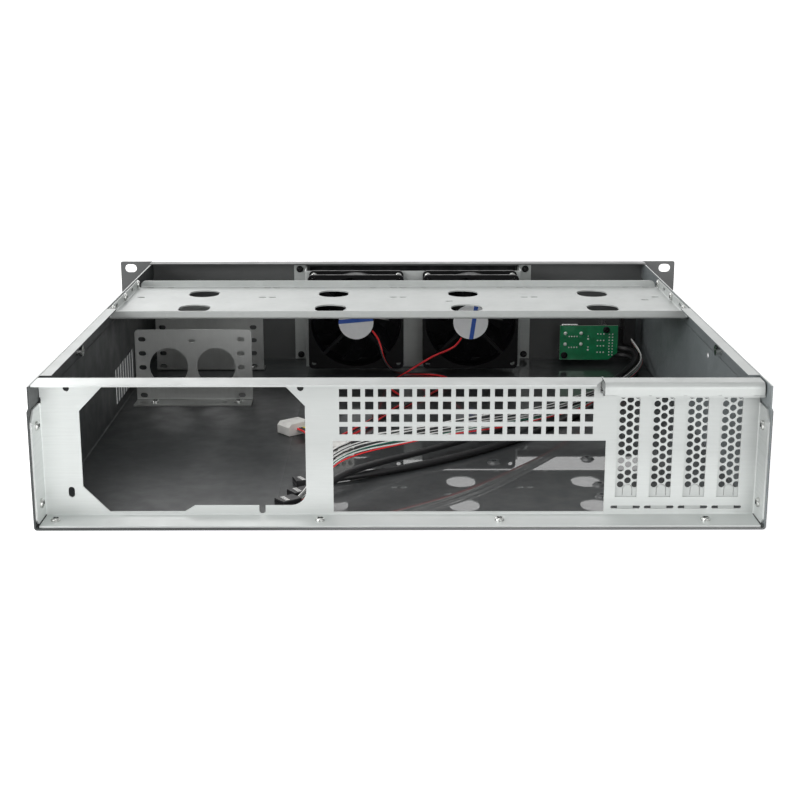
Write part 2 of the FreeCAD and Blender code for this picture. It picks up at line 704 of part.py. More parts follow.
def fan_rotor(cx):
    y0 = fan_far + 1.2
    hub_r = fan_hub_r - 0.5
    cup = rod(cx, y0, fan_z, hub_r, 19.0, AY)
    cup = cup.makeFillet(1.5, [e for e in cup.Edges if abs(e.CenterOfMass.y - y0) < 1e-6 and e.Curve.TypeId == "Part::GeomCircle"])
    cup = cup.cut(rod(cx, y0 + 1.6, fan_z, hub_r - 1.4, 18.0, AY))
    shaft = rod(cx, y0 + 1.4, fan_z, shaft_r, 18.8, AY)
    blades = []
    tip = fan_duct_r - fan_tip_gap
    mid_y = y0 + 9.8
    for k in range(blade_count):
        wires = []
        for r, pitch, sweep in ((hub_r - 1.0, 46.0, 0.0), (tip * 0.72, 37.0, 11.0), (tip + 1.5, 29.0, 25.0)):
            half = 9.0 if r > hub_r else 7.0
            c, s = math.cos(math.radians(pitch)), math.sin(math.radians(pitch))
            turn = math.radians(sweep + 360.0 / blade_count * k)
            er = V(math.cos(turn), 0, math.sin(turn))
            et = V(-math.sin(turn), 0, math.cos(turn))
            ring = []
            for u, t in ((-half, 0.0), (0.0, 0.75), (half, 0.0), (0.0, -0.35)):
                ring.append(V(cx, mid_y, fan_z) + er * r + et * (u * c - t * s) + AY * (u * s + t * c))
            wires.append(Part.makePolygon(ring + [ring[0]]))
        blades.append(Part.makeLoft(wires, True, True))
    sweep_zone = rod(cx, y0 + 0.4, fan_z, tip, 18.4, AY).cut(rod(cx, y0, fan_z, hub_r - 0.7, 20, AY))
    blades = [b.common(sweep_zone) for b in blades]
    return cup.fuse([shaft] + blades).removeSplitter()


def dust_filter():
    # Foam sheet on the panel's back, between the two ends of the bracket.
    x0 = bracket_x0 + inner_gauge + filter_margin
    x1 = bracket_x1 - inner_gauge - filter_margin
    half = fan_size / 2
    return box(x0, x1, panel_back, panel_back + filter_gauge, fan_z - half - 2.5, fan_z + half - 1.5)


def fan_label(cx):
    return rod(cx, fan_near - 0.4, fan_z, label_r, 0.25, AY)


# ---- front board, sockets, switches -----------------------------------------
def front_board():
    x1 = board_x0 + board_w
    z1 = board_z0 + board_h
    pts = [(board_x0 + 8.0, board_z0), (x1, board_z0), (x1, z1), (board_x0, z1), (board_x0, board_z0 + 6.0)]
    board = prism(pts, "xz", board_front, board_rear)
    return cut(board, [rod(x, board_front - 1, z, screw_hole_r + 0.1, 4, AY) for x, z in board_screws])


def board_spacer():
    out = []
    for x, z in board_screws:
        post = prism([(x + 3.0 * math.cos(math.radians(60 * k)), z + 3.0 * math.sin(math.radians(60 * k)))
                      for k in range(6)], "xz", panel_back, board_front)
        out.append(post.cut(rod(x, panel_back - 1, z, screw_hole_r, board_back + 4, AY)))
    return Part.makeCompound(out)


def usb_socket(z):
    body = box(usb_x - usb_w / 2, usb_x + usb_w / 2, y_front, board_front, z - usb_h / 2, z + usb_h / 2)
    well = box(usb_x - usb_w / 2 + 0.4, usb_x + usb_w / 2 - 0.4, y_front - 1, y_front + 14.0, z - usb_h / 2 + 0.4, z + usb_h / 2 - 0.4)
    tongue = box(usb_x - usb_w / 2 + 1.0, usb_x + usb_w / 2 - 1.0, y_front + 0.8, y_front + 14.5, z + 0.1, z + 1.9)
    return body.cut(well).fuse(tongue).removeSplitter()


def led(z):
    pipe = rod(led_x, y_front + 0.1, z, led_r, board_front - y_front - 0.1, AY)
    rim = rod(led_x, panel_back, z, led_r + 0.5, 1.0, AY)
    return pipe.fuse(rim).removeSplitter()


def switch_body(z, r):
    h = switch_side / 2
    y0 = panel_back
    body = box(button_x - h, button_x + h, y0, y0 + switch_depth, z - h, z + h)
    body = body.makeFillet(1.0, [e for e in body.Edges if abs(e.Length - switch_depth) < 1e-4])
    well = rod(button_x, y0 - 1, z, r + button_clear + button_collar, 1 + 1.2 + button_travel, AY)
    bore = rod(button_x, y0, z, 1.5 + 0.08, 6.6, AY)
    pins = [box(button_x + s * 3.0 - 0.4, button_x + s * 3.0 + 0.4, y0 + switch_depth - 0.5, y0 + switch_depth + 3.0, z - 0.4, z + 0.4)
            for s in (1, -1)]
    return body.fuse(pins).cut(Part.makeCompound([well, bore])).removeSplitter()


def button(z, r):
    cap = rod(button_x, y_front, z, r, panel_gauge + 0.8, AY)
    rim = [e for e in cap.Edges if abs(e.CenterOfMass.y - y_front) < 1e-6 and e.Curve.TypeId == "Part::GeomCircle"]
    cap = cap.makeChamfer(0.4, rim)
    collar = rod(button_x, panel_back + 0.1, z, r + button_collar, 0.7, AY)
    stem = rod(button_x, y_front + 0.5, z, 1.5, panel_gauge + 4.2, AY)
    return cap.fuse([stem, collar]).removeSplitter()


# ---- screws -----------------------------------------------------------------
def save_group(name, shapes):
    save(name, Part.makeCompound(shapes))


save("chassis_tray", chassis_tray())
save("front_panel", front_panel())
save("rear_panel", rear_panel())
for k in range(slot_count):
    save("slot_cover_%d" % (k + 1), slot_cover(k))
save("slot_clamp_bar", slot_clamp_bar())
save("drive_tray", drive_tray())
save("drive_plate_rear", drive_plate(plate_rear_y, 1, plate_ports))
save("drive_plate_front", drive_plate(plate_rear_y - plate_span, -1, []))
save("fan_bracket", fan_bracket())
save("dust_filter", dust_filter())
for side, cx in zip(("1", "2"), fan_x):
    save("fan_frame_" + side, fan_frame(cx))
    save("fan_rotor_" + side, fan_rotor(cx))
    save("fan_label_" + side, fan_label(cx))
save("front_io_board", front_board())
save("board_spacers", board_spacer())
save("usb_socket_upper", usb_socket(usb_z[0]))
save("usb_socket_lower", usb_socket(usb_z[1]))
save("led_power", led(led_z[0]))
save("led_drive", led(led_z[1]))
save("power_switch", switch_body(power_z, power_r))
save("reset_switch", switch_body(reset_z, reset_r))
save("power_button", button(power_z, power_r))
save("reset_button", button(reset_z, reset_r))

rear_screws = [screw(x, y, floor_z + inner_gauge, AZ, case_gauge + inner_gauge - 0.2) for x, y in floor_screws[:len(rear_floor_x)]]
for s in (1, -1):
    for z in side_screw_z:
        seat = s * (half_body - case_gauge - 0.05 - inner_gauge)
        rear_screws.append(screw(seat, rear_screw_y, z, AX * -s, case_gauge + inner_gauge - 0.1))
save_group("rear_panel_screws", rear_screws)
tray_screws = []
for s in (1, -1):
    for y in tray_screw_y:
        tray_screws.append(screw(s * (top_in - tray_gap - inner_gauge), y, tray_screw_z, AX * -s, case_gauge + inner_gauge))
save_group("drive_tray_screws", tray_screws)
plate_screws = [screw(x, y, floor_z + inner_gauge, AZ, case_gauge + inner_gauge - 0.2) for x, y in floor_screws[len(rear_floor_x):]]
save_group("drive_plate_screws", plate_screws)
save_group("fan_bracket_screws", [screw(x, panel_back + inner_gauge, z, AY, inner_gauge + panel_gauge - 0.1) for x, z in bracket_screws])
fan_screws = []
for cx in fan_x:
    for sx in (1, -1):
        for sz in (1, -1):
            fan_screws.append(screw(cx + sx * fan_hole_pitch / 2, fan_far + fan_flange, fan_z + sz * fan_hole_pitch / 2, AY,
                                    fan_flange + inner_gauge + 1.0))
save_group("fan_screws", fan_screws)
save_group("board_screws", [screw(x, board_rear, z, AY, board_gauge + 6.0) for x, z in board_screws])
inserts = []
for s in (1, -1):
    nut = rod(s * (half_body - joggle - case_gauge) - (4.0 if s > 0 else 0.0), insert_y, insert_z, 3.6, 4.0, AX)
    collar = rod(min(s * (half_body - joggle - case_gauge), s * (half_body - joggle - 0.2)), insert_y, insert_z, insert_r - 0.05, case_gauge - 0.2, AX)
    inserts.append(nut.fuse(collar).cut(rod(s * (half_body - 4) - 5, insert_y, insert_z, 1.25, 10, AX)).removeSplitter())
save_group("lid_inserts", inserts)


# ---- leads and cables -------------------------------------------------------
# Each cord is straight runs joined by tangent arcs; its points are hand set.
fan_lead_r = 1.2
usb_r = 2.3
harness_r = 2.6
link_r = 1.7
cord_floor = 0.1


def cord(name, pts, r):
    pts = [V(*p) for p in pts]
    runs = [(pts[i + 1] - pts[i]).Length for i in range(len(pts) - 1)]
    edges = []
    prev = pts[0]
    radii = []
    for i in range(1, len(pts) - 1):
        b = pts[i]
        u = (pts[i - 1] - b).normalize()
        w = (pts[i + 1] - b).normalize()
        half_turn = (math.pi - u.getAngle(w)) / 2.0
        rad = 0.45 * min(runs[i - 1], runs[i]) / math.tan(half_turn)
        d = rad * math.tan(half_turn)
        c = (u + w).normalize()
        mid = b + c * (rad / math.cos(half_turn) - rad)
        edges.append(Part.LineSegment(prev, b + u * d).toShape())
        edges.append(Part.Arc(b + u * d, mid, b + w * d).toShape())
        prev = b + w * d
        radii.append(rad)
    edges.append(Part.LineSegment(prev, pts[-1]).toShape())
    path = Part.Wire(edges)
    start = (pts[1] - pts[0]).normalize()
    ring = Part.Wire([Part.makeCircle(r, pts[0], start)])
    tube = path.makePipeShell([ring], True, False)
    ratio = tube.Volume / (math.pi * r * r * path.Length)
    turns = [round(x / (2 * r), 1) for x in radii]
    print(name, "length %.0f" % path.Length, "radii in diameters", turns, "volume ratio %.4f" % ratio)
    save(name, tube)


def plug(end, along, width, height, length):
    # Block whose back face meets a cord's end squarely.
    d = V(*along).normalize()
    side = d.cross(AZ).normalize()
    up = side.cross(d)
    e = V(*end)
    pts = [e + side * (a * width / 2) + up * (b * height / 2) for a, b in ((-1, -1), (1, -1), (1, 1), (-1, 1))]
    body = Part.Face(Part.makePolygon(pts + [pts[0]])).extrude(d * length)
    long = [x for x in body.Edges if abs(x.Length - length) < 1e-4]
    return body.makeFillet(0.6, long), e, d, side, up


def header_plug(end, along, width=10.4, height=5.4, length=13.0):
    body, e, d, side, up = plug(end, along, width, height, length)
    holes = []
    for i in range(5 if width > 8 else 1):
        for j in (-1, 1):
            c = e + side * ((i - (2 if width > 8 else 0)) * 1.9) + up * (j * 1.2) + d * (length - 6.0)
            h = Part.makePolygon([c + side * a + up * b for a, b in ((-.5, -.5), (.5, -.5), (.5, .5), (-.5, .5), (-.5, -.5))])
            holes.append(Part.Face(h).extrude(d * 7.0))
    return cut(body, holes)


def power_plug(centre, along, width=21.0, height=8.6, length=14.0):
    body, e, d, side, up = plug(centre, along, width, height, length)
    pockets = []
    for i in range(4):
        c = e + side * ((i - 1.5) * 5.08) + d * (length - 9.0)
        pockets.append(Part.makeCylinder(1.9, 10.0, c, d))
    keys = []
    for s in (-1, 1):
        a = e + side * (s * width / 2) + up * (height / 2)
        tri = [a + side * (-s * 2.4), a + up * 0.5 + side * s * 0.5, a + up * -2.4]
        keys.append(Part.Face(Part.makePolygon([t - d for t in tri + [tri[0]]])).extrude(d * (length + 2)))
    return cut(body, pockets + keys)


fan_lead_1 = [(22.7, -168.7, 38.2), (18.2, -164.2, 34.4), (15.0, -161.6, 26.0), (12.4, -160.6, 14.5)]
fan_lead_1 += [(6.0, -161.0, 5.6), (-5.5, -162.2, 2.5), (-19.0, -162.4, 2.4), (-31.5, -159.0, 2.4), (-41.0, -148.5, 2.4)]
fan_lead_1 += [(-43.5, -133.5, 2.4), (-38.0, -114.0, 2.4), (-25.5, -92.0, 2.4), (-13.5, -69.5, 2.4)]
fan_lead_1 += [(7.5, -29.0, 2.4), (21.6, 3.4, 2.4), (34.8, 33.6, 3.2), (49.4, 50.8, 4.6), (40.9, 65.5, 4.6)]
fan_lead_2 = [(-54.3, -168.7, 32.4), (-50.6, -163.9, 26.9), (-42.4, -161.2, 22.4), (-30.5, -160.4, 18.3)]
fan_lead_2 += [(-17.0, -159.4, 10.6), (-5.0, -154.6, 4.6), (5.0, -142.5, 2.5), (9.0, -125.0, 2.4), (4.0, -98.0, 2.4)]
fan_lead_2 += [(-7.5, -70.7, 2.4), (12.6, -30.7, 2.4), (27.0, 2.0, 2.4), (40.0, 32.0, 3.2), (53.3, 53.0, 4.6)]
fan_lead_2 += [(44.8, 67.75, 4.6)]
power_link = [(71.0, 22.0, 5.6), (64.6, 29.7, 5.6), (60.8, 45.5, 4.8), (59.5, 63.4, 4.6), (54.0, 73.0, 4.6)]
usb_cable_1 = [(-180.0, -203.6, 15.4), (-194.6, -203.6, 15.4), (-204.6, -192.8, 14.0), (-203.0, -174.0, 11.0)]
usb_cable_1 += [(-190.0, -150.0, 7.0), (-171.5, -118.0, 4.2)]
usb_cable_1 += [(-150.0, -78.0, 3.8), (-122.0, -36.0, 4.4), (-88.0, 8.0, 5.6), (-52.0, 50.0, 6.4), (-14.0, 89.0, 7.4)]
usb_cable_1 += [(20.0, 124.0, 9.2), (37.0, 146.5, 9.8), (47.5, 158.5, 4.4), (57.0, 165.0, 4.4)]
usb_cable_2 = [(-180.0, -203.6, 9.6), (-194.3, -203.6, 9.6), (-203.8, -192.8, 8.2), (-204.4, -175.5, 4.8)]
usb_cable_2 += [(-197.0, -150.0, 3.4), (-181.0, -114.0, 3.4)]
usb_cable_2 += [(-164.0, -74.0, 3.4), (-138.0, -28.0, 3.4), (-106.0, 16.0, 3.4), (-72.0, 57.0, 3.4), (-40.0, 85.5, 3.4)]
usb_cable_2 += [(-8.0, 109.0, 3.4), (23.0, 127.5, 3.6), (43.0, 137.0, 3.8), (55.0, 141.0, 3.8)]
panel_harness = [(-203.5, -204.5, 21.2), (-203.5, -190.5, 21.2), (-208.0, -172.0, 14.2), (-200.0, -142.0, 12.0)]
panel_harness += [(-180.0, -99.0, 11.0), (-157.5, -57.6, 12.0), (-130.0, -8.0, 15.2), (-92.0, 42.0, 20.2)]
panel_harness += [(-50.0, 84.0, 25.8), (-8.0, 117.0, 27.6), (25.0, 143.0, 27.8), (41.0, 161.5, 20.0), (50.8, 173.2, 4.6)]
panel_harness += [(63.4, 183.2, 4.6)]


def last_dir(pts):
    return tuple(b - a for a, b in zip(pts[-2], pts[-1]))


def first_dir(pts):
    return tuple(a - b for a, b in zip(pts[0], pts[1]))


cord("fan_lead_1", fan_lead_1, fan_lead_r)
cord("fan_lead_2", fan_lead_2, fan_lead_r)
cord("power_link", power_link, link_r)
cord("usb_cable_1", usb_cable_1, usb_r)
cord("usb_cable_2", usb_cable_2, usb_r)
cord("panel_harness", panel_harness, harness_r)
link_plug_mid = (46.992, 69.014, 5.6)
save("power_plug_1", power_plug(power_link[0], (0.64, -0.77, 0.0)))
save("power_plug_2", power_plug(link_plug_mid, (-0.4994, 0.8664, 0.0)))
save("usb_plug_1", header_plug(usb_cable_1[-1], last_dir(usb_cable_1)[:2] + (0.0,)))
save("usb_plug_2", header_plug(usb_cable_2[-1], last_dir(usb_cable_2)))
save("panel_plug", header_plug(panel_harness[-1], last_dir(panel_harness)[:2] + (0.0,), 10.4, 6.0))


def board_plug(z):
    # Female header on the board's hidden face; its cord leaves towards the wall.
    x0 = board_x0 + board_plug_in
    z = board_z0 + z
    return box(x0, x0 + board_plug_long, board_front - board_plug_deep, board_front, z - board_plug_half, z + board_plug_half)


def switch_plug():
    # One housing over the pins of both switches.
    y0 = panel_back + switch_depth + hairline
    y1 = y0 + switch_plug_depth
    body = box(button_x - 5.2, button_x + 5.2, y0, y1, switch_plug_z, power_z + 4.0)
    pins = []
    for z in (power_z, reset_z):
        for s in (1, -1):
            x = button_x + s * 3.0
            pins.append(box(x - 0.45, x + 0.45, y0 - 1, panel_back + switch_depth + 3.2, z - 0.45, z + 0.45))
    return cut(body, pins)


save("board_plug_1", board_plug(board_plug_z[0]))
save("board_plug_2", board_plug(board_plug_z[1]))
save("switch_plug", switch_plug())
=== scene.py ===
import json
import math
import bpy
import bmesh
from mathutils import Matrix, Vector
from mathutils.bvhtree import BVHTree


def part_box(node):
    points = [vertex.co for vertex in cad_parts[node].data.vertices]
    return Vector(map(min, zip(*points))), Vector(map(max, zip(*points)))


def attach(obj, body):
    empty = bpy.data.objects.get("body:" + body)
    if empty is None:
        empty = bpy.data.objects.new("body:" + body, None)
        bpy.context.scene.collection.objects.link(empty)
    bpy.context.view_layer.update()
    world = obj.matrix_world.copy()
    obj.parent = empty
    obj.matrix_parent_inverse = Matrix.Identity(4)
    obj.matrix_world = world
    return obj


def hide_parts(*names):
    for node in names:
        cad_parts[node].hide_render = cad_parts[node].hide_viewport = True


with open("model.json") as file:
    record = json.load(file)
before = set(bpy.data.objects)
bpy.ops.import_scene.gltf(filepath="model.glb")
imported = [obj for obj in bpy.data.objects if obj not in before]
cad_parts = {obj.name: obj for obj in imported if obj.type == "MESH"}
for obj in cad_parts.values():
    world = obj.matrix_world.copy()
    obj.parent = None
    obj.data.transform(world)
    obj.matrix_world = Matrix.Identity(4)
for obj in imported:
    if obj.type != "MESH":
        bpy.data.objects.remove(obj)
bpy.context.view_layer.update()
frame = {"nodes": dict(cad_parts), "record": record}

NODES = frame["nodes"]
ROOT = "chassis"
MM = 0.001
SCREW_HEAD_H = 0.0018
SCREW_SHANK_R = 0.0014


def low(node):
    return Vector(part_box(node)[0])


def high(node):
    return Vector(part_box(node)[1])


def mid(node):
    return (low(node) + high(node)) / 2


# ---- materials --------------------------------------------------------------
class Nodes:
    """A small builder for one material's node tree."""

    def __init__(self, name, rough=0.4, metal=0.0, **fixed):
        self.mat = bpy.data.materials.new(name)
        self.mat.use_nodes = True
        self.tree = self.mat.node_tree
        self.shader = self.tree.nodes["Principled BSDF"]
        self.shader.inputs["Roughness"].default_value = rough
        self.shader.inputs["Metallic"].default_value = metal
        for key, value in fixed.items():
            self.shader.inputs[key.replace("_", " ")].default_value = value
        self.place = self.add("ShaderNodeTexCoord").outputs["Object"]

    def add(self, kind, **props):
        node = self.tree.nodes.new(kind)
        for key, value in props.items():
            setattr(node, key, value)
        return node

    def link(self, a, b):
        self.tree.links.new(a, b)

    def scaled(self, x, y, z):
        m = self.add("ShaderNodeMapping")
        m.inputs["Scale"].default_value = (x, y, z)
        self.link(self.place, m.inputs["Vector"])
        return m.outputs["Vector"]

    def noise(self, scale, detail=3.0, vector=None, rough=0.55):
        n = self.add("ShaderNodeTexNoise")
        n.inputs["Scale"].default_value = scale
        n.inputs["Detail"].default_value = detail
        n.inputs["Roughness"].default_value = rough
        self.link(vector or self.place, n.inputs["Vector"])
        return n.outputs["Fac"]

    def cells(self, scale, vector=None):
        n = self.add("ShaderNodeTexVoronoi")
        n.inputs["Scale"].default_value = scale
        self.link(vector or self.place, n.inputs["Vector"])
        return n.outputs["Color"]

    def ramp(self, value, lo, hi, a=0.35, b=0.65):
        r = self.add("ShaderNodeMapRange")
        r.inputs["From Min"].default_value = a
        r.inputs["From Max"].default_value = b
        r.inputs["To Min"].default_value = lo
        r.inputs["To Max"].default_value = hi
        self.link(value, r.inputs["Value"])
        return r.outputs["Result"]

    def mix(self, value, one, two):
        m = self.add("ShaderNodeMix", data_type="RGBA")
        for k, c in (("A", one), ("B", two)):
            socket = [s for s in m.inputs if s.name == k and s.type == "RGBA"][0]
            if isinstance(c, tuple):
                socket.default_value = c + (1.0,)
            else:
                self.link(c, socket)
        factor = [s for s in m.inputs if s.name == "Factor" and s.type == "VALUE"][0]
        if isinstance(value, float):
            factor.default_value = value
        else:
            self.link(value, factor)
        return [s for s in m.outputs if s.type == "RGBA"][0]

    def axes(self, vector=None):
        """X, Y and Z of a vector, or of the shaded place."""
        sep = self.add("ShaderNodeSeparateXYZ")
        self.link(vector or self.place, sep.inputs["Vector"])
        return sep.outputs

    def normal(self, kind="Normal"):
        return self.axes(self.add("ShaderNodeNewGeometry").outputs[kind])

    def calc(self, operation, *values):
        """Output of a Math node; each value is a float or a socket."""
        m = self.add("ShaderNodeMath", operation=operation)
        for socket, value in zip(m.inputs, values):
            if isinstance(value, float):
                socket.default_value = value
            else:
                self.link(value, socket)
        return m.outputs["Value"]

    def product(self, one, two):
        return self.calc("MULTIPLY", one, two)

    def colour(self, value):
        if isinstance(value, tuple):
            self.shader.inputs["Base Color"].default_value = value + (1.0,)
        else:
            self.link(value, self.shader.inputs["Base Color"])

    def roughness(self, value):
        self.link(value, self.shader.inputs["Roughness"])

    def bump(self, height, strength, distance):
        b = self.add("ShaderNodeBump")
        b.inputs["Strength"].default_value = strength
        b.inputs["Distance"].default_value = distance
        self.link(height, b.inputs["Height"])
        self.link(b.outputs["Normal"], self.shader.inputs["Normal"])


def tint(c, k):
    return tuple(min(1.0, v * k) for v in c)


def paint(name, c, rough, coat=0.0, coat_rough=0.05, peel=0.12):
    n = Nodes(name, rough, 0.0, Coat_Weight=coat, Coat_Roughness=coat_rough)
    n.colour(n.mix(n.ramp(n.noise(22.0, 4.0), 0.0, 1.0), tint(c, 0.9), tint(c, 1.1)))
    n.roughness(n.ramp(n.noise(60.0, 4.0), rough * 0.85, rough * 1.2))
    n.bump(n.noise(900.0, 2.0), peel, 0.00005)
    return n.mat


def zinc(name, c, rough, metal=0.85, streak=(40.0, 40.0, 900.0)):
    n = Nodes(name, rough, metal)
    spangle = n.ramp(n.cells(230.0), 0.0, 1.0, 0.1, 0.9)
    lines = n.noise(1.0, 4.0, n.scaled(*streak))
    base = n.mix(spangle, tint(c, 0.95), tint(c, 1.03))
    n.colour(n.mix(n.ramp(lines, 0.0, 1.0, 0.3, 0.7), tint(c, 0.93), base))
    n.roughness(n.ramp(lines, rough * 0.8, rough * 1.25, 0.3, 0.7))
    n.bump(lines, 0.08, 0.00005)
    return n.mat


def moulded(name, c, rough, grain=700.0, peel=0.1, **fixed):
    n = Nodes(name, rough, 0.0, **fixed)
    n.colour(n.mix(n.ramp(n.noise(90.0, 3.0), 0.0, 1.0), tint(c, 0.88), tint(c, 1.12)))
    n.roughness(n.ramp(n.noise(160.0, 3.0), rough * 0.85, rough * 1.15))
    n.bump(n.noise(grain, 2.0), peel, 0.00005)
    return n.mat


def plated(name, c, rough):
    n = Nodes(name, rough, 1.0)
    n.colour(n.mix(n.ramp(n.noise(400.0, 3.0), 0.0, 1.0), tint(c, 0.9), tint(c, 1.05)))
    n.roughness(n.ramp(n.noise(700.0, 2.0), rough * 0.8, rough * 1.3))
    return n.mat


def board_material():
    # Solder mask on both faces, bare laminate on the cut edges.
    n = Nodes("board_green", 0.3, 0.0, Coat_Weight=0.4)
    face = n.calc("ABSOLUTE", n.normal()["Y"])
    mask = n.mix(n.ramp(n.noise(160.0, 3.0), 0.0, 1.0), (0.006, 0.20, 0.075), (0.008, 0.26, 0.10))
    n.colour(n.mix(n.ramp(face, 0.0, 1.0, 0.4, 0.6), (0.42, 0.50, 0.40), mask))
    n.bump(n.noise(500.0, 2.0), 0.1, 0.00005)
    return n.mat


def chassis_paint(name, c):
    # Satin on the walls, glossy on the middle of the floor, duller towards +X. The -X wall's inner face is
    # painted five times lighter, as painted light.
    # The upward faces of the walls' top lips carry a painted highlight, and so does every second cut edge of
    # the cooling slots in the +X wall.
    wall_x = high("chassis_tray").x
    wall_top = high("chassis_tray").z
    floor_top = 0.0012
    slots_y0, slots_y1, fade = -0.118, -0.034, 0.004
    slot_pair, first_y = 0.010, -0.0365
    n = Nodes(name, 0.45)
    x, y, z = n.axes()
    # Painted light: near the -X wall's inner face, above the floor, the paint is made five times lighter.
    behind = n.ramp(x, 0.0, 1.0, 0.0002 - wall_x, 0.0007 - wall_x)
    painted_light_inside = n.product(behind, n.ramp(x, 1.0, 0.0, 0.010 - wall_x, 0.015 - wall_x))
    painted_light_inside = n.product(painted_light_inside, n.ramp(z, 0.0, 1.0, floor_top, 0.004))
    grey = n.mix(n.ramp(n.noise(22.0, 4.0), 0.0, 1.0), tint(c, 0.96), tint(c, 1.04))
    skin_with_painted_light = n.mix(painted_light_inside, grey, tint(c, 5.0))
    # Painted highlight: the upward faces at the top of the walls are painted pale grey.
    upward = n.ramp(n.normal()["Z"], 0.0, 1.0, 0.5, 0.8)
    painted_lip_highlight = n.product(upward, n.ramp(z, 0.0, 1.0, wall_top - 0.0015, wall_top - 0.0008))
    # Painted highlight: every second cut edge of the slots is painted near-white.
    turn = n.calc("FRACT", n.calc("MULTIPLY_ADD", y, -1.0 / slot_pair, first_y / slot_pair))
    cut = n.ramp(n.calc("ABSOLUTE", n.normal("True Normal")["Y"]), 0.0, 1.0, 0.6, 0.9)
    for limit in (n.ramp(x, 0.0, 1.0, wall_x - 0.0020, wall_x - 0.0012),
                  n.ramp(y, 1.0, 0.0, slots_y1, slots_y1 + fade),
                  n.ramp(y, 0.0, 1.0, slots_y0 - fade, slots_y0),
                  n.ramp(turn, 0.45, 0.0, 0.45, 0.55)):
        cut = n.product(cut, limit)
    # The pale grey of the top lips is a painted highlight.
    skin_and_painted_highlights = n.mix(painted_lip_highlight, skin_with_painted_light, (0.52, 0.54, 0.53))
    n.colour(n.mix(cut, skin_and_painted_highlights, (0.86, 0.87, 0.86)))
    gloss = n.product(n.ramp(z, 1.0, 0.0, floor_top, 0.003), n.ramp(x, 1.0, 0.0, 0.03, 0.09))
    n.link(n.ramp(gloss, 0.03, 0.8, 0.0, 1.0), n.shader.inputs["Coat Weight"])
    n.link(n.ramp(gloss, 0.35, 0.015, 0.0, 1.0), n.shader.inputs["Coat Roughness"])
    n.shader.inputs["Coat IOR"].default_value = 1.9
    n.roughness(n.ramp(n.noise(60.0, 4.0), 0.42, 0.55))
    n.bump(n.noise(900.0, 2.0), 0.03, 0.00005)
    return n.mat


def sheet_panel(name, c):
    # Galvanised sheet with painted light: painted brighter along its foot, where the bottom flange throws
    # light back at it, and painted brighter at its +X end.
    n = Nodes(name, 0.42, 0.3)
    place = n.axes()
    lines = n.noise(1.0, 4.0, n.scaled(40.0, 40.0, 900.0))
    # Painted light: the sheet is painted up to 1.4 times brighter along its foot.
    foot = n.mix(n.ramp(place["Z"], 1.0, 0.0, 0.004, 0.045), c, tint(c, 1.4))
    # Painted light: the sheet is painted brighter towards its +X end.
    end = n.mix(n.ramp(place["X"], 0.0, 0.9, 0.165, 0.2), foot, tint(c, 1.7))
    n.colour(n.mix(n.ramp(lines, 0.0, 0.06, 0.3, 0.7), end, (0.2, 0.2, 0.2)))
    n.roughness(n.ramp(lines, 0.34, 0.52, 0.3, 0.7))
    n.bump(lines, 0.08, 0.00005)
    return n.mat


MAT = {
    "chassis_paint": chassis_paint("chassis_paint", (0.030, 0.0335, 0.0345)),
    "panel_paint": paint("panel_paint", (0.072, 0.075, 0.075), 0.4, 0.2, 0.2),
    "galvanised": zinc("galvanised", (0.475, 0.495, 0.485), 0.42, 0.3),
    "sheet_panel": sheet_panel("sheet_panel", (0.435, 0.452, 0.444)),
    "plate_steel": zinc("plate_steel", (0.50, 0.51, 0.50), 0.36, 0.92, (900.0, 40.0, 40.0)),
    "fan_plastic": moulded("fan_plastic", (0.004, 0.004, 0.0045), 0.42, Specular_IOR_Level=0.16),
    "rotor_plastic": moulded("rotor_plastic", (0.010, 0.010, 0.011), 0.16, Coat_Weight=0.6),
    "board_green": board_material(),
    "socket_steel": plated("socket_steel", (0.72, 0.72, 0.70), 0.25),
    "led_green": moulded("led_green", (0.25, 0.6, 0.2), 0.2, Transmission_Weight=0.4),
    "led_red": moulded("led_red", (0.7, 0.06, 0.04), 0.2, Transmission_Weight=0.4),
    "black_plastic": moulded("black_plastic", (0.014, 0.014, 0.015), 0.4),
    "white_plastic": moulded("white_plastic", (0.90, 0.89, 0.85), 0.4),
    "zinc_screws": plated("zinc_screws", (0.66, 0.67, 0.65), 0.22),
    "black_screws": plated("black_screws", (0.03, 0.03, 0.032), 0.35),
    "cable_black": moulded("cable_black", (0.012, 0.012, 0.013), 0.38, 300.0),
    "filter_foam": moulded("filter_foam", (0.006, 0.006, 0.007), 0.95, 260.0, 0.8),
    "wire_red": moulded("wire_red", (0.85, 0.022, 0.028), 0.32),
    "wire_black": moulded("wire_black", (0.014, 0.014, 0.015), 0.35),
    "wire_white": moulded("wire_white", (0.80, 0.80, 0.78), 0.4),
    "wire_green": moulded("wire_green", (0.012, 0.13, 0.085), 0.4),
    "wire_yellow": moulded("wire_yellow", (0.75, 0.62, 0.03), 0.4),
    "solder": moulded("solder", (0.80, 0.84, 0.78), 0.25, Coat_Weight=0.5),
    "tag_white": moulded("tag_white", (0.88, 0.88, 0.86), 0.5),
}


def label_material(name, node, lean, shift):
    # Blank hub label: white film with one blue band; lean is the band's angle.
    n = Nodes(name, 0.35)
    paper = n.mix(n.ramp(n.noise(300.0, 3.0), 0.0, 1.0), (0.92, 0.94, 0.95), (0.96, 0.97, 0.98))
    side = (-math.sin(lean), 0.0, math.cos(lean))
    dot = n.add("ShaderNodeVectorMath", operation="DOT_PRODUCT")
    dot.inputs[1].default_value = side
    n.link(n.place, dot.inputs[0])
    off = n.calc("SUBTRACT", dot.outputs["Value"], mid(node).dot(Vector(side)) + shift)
    band = n.ramp(n.calc("ABSOLUTE", off), 1.0, 0.0, 0.0017, 0.0019)
    n.colour(n.mix(band, paper, (0.03, 0.11, 0.50)))
    n.bump(n.noise(500.0, 2.0), 0.05, 0.00005)
    return n.mat


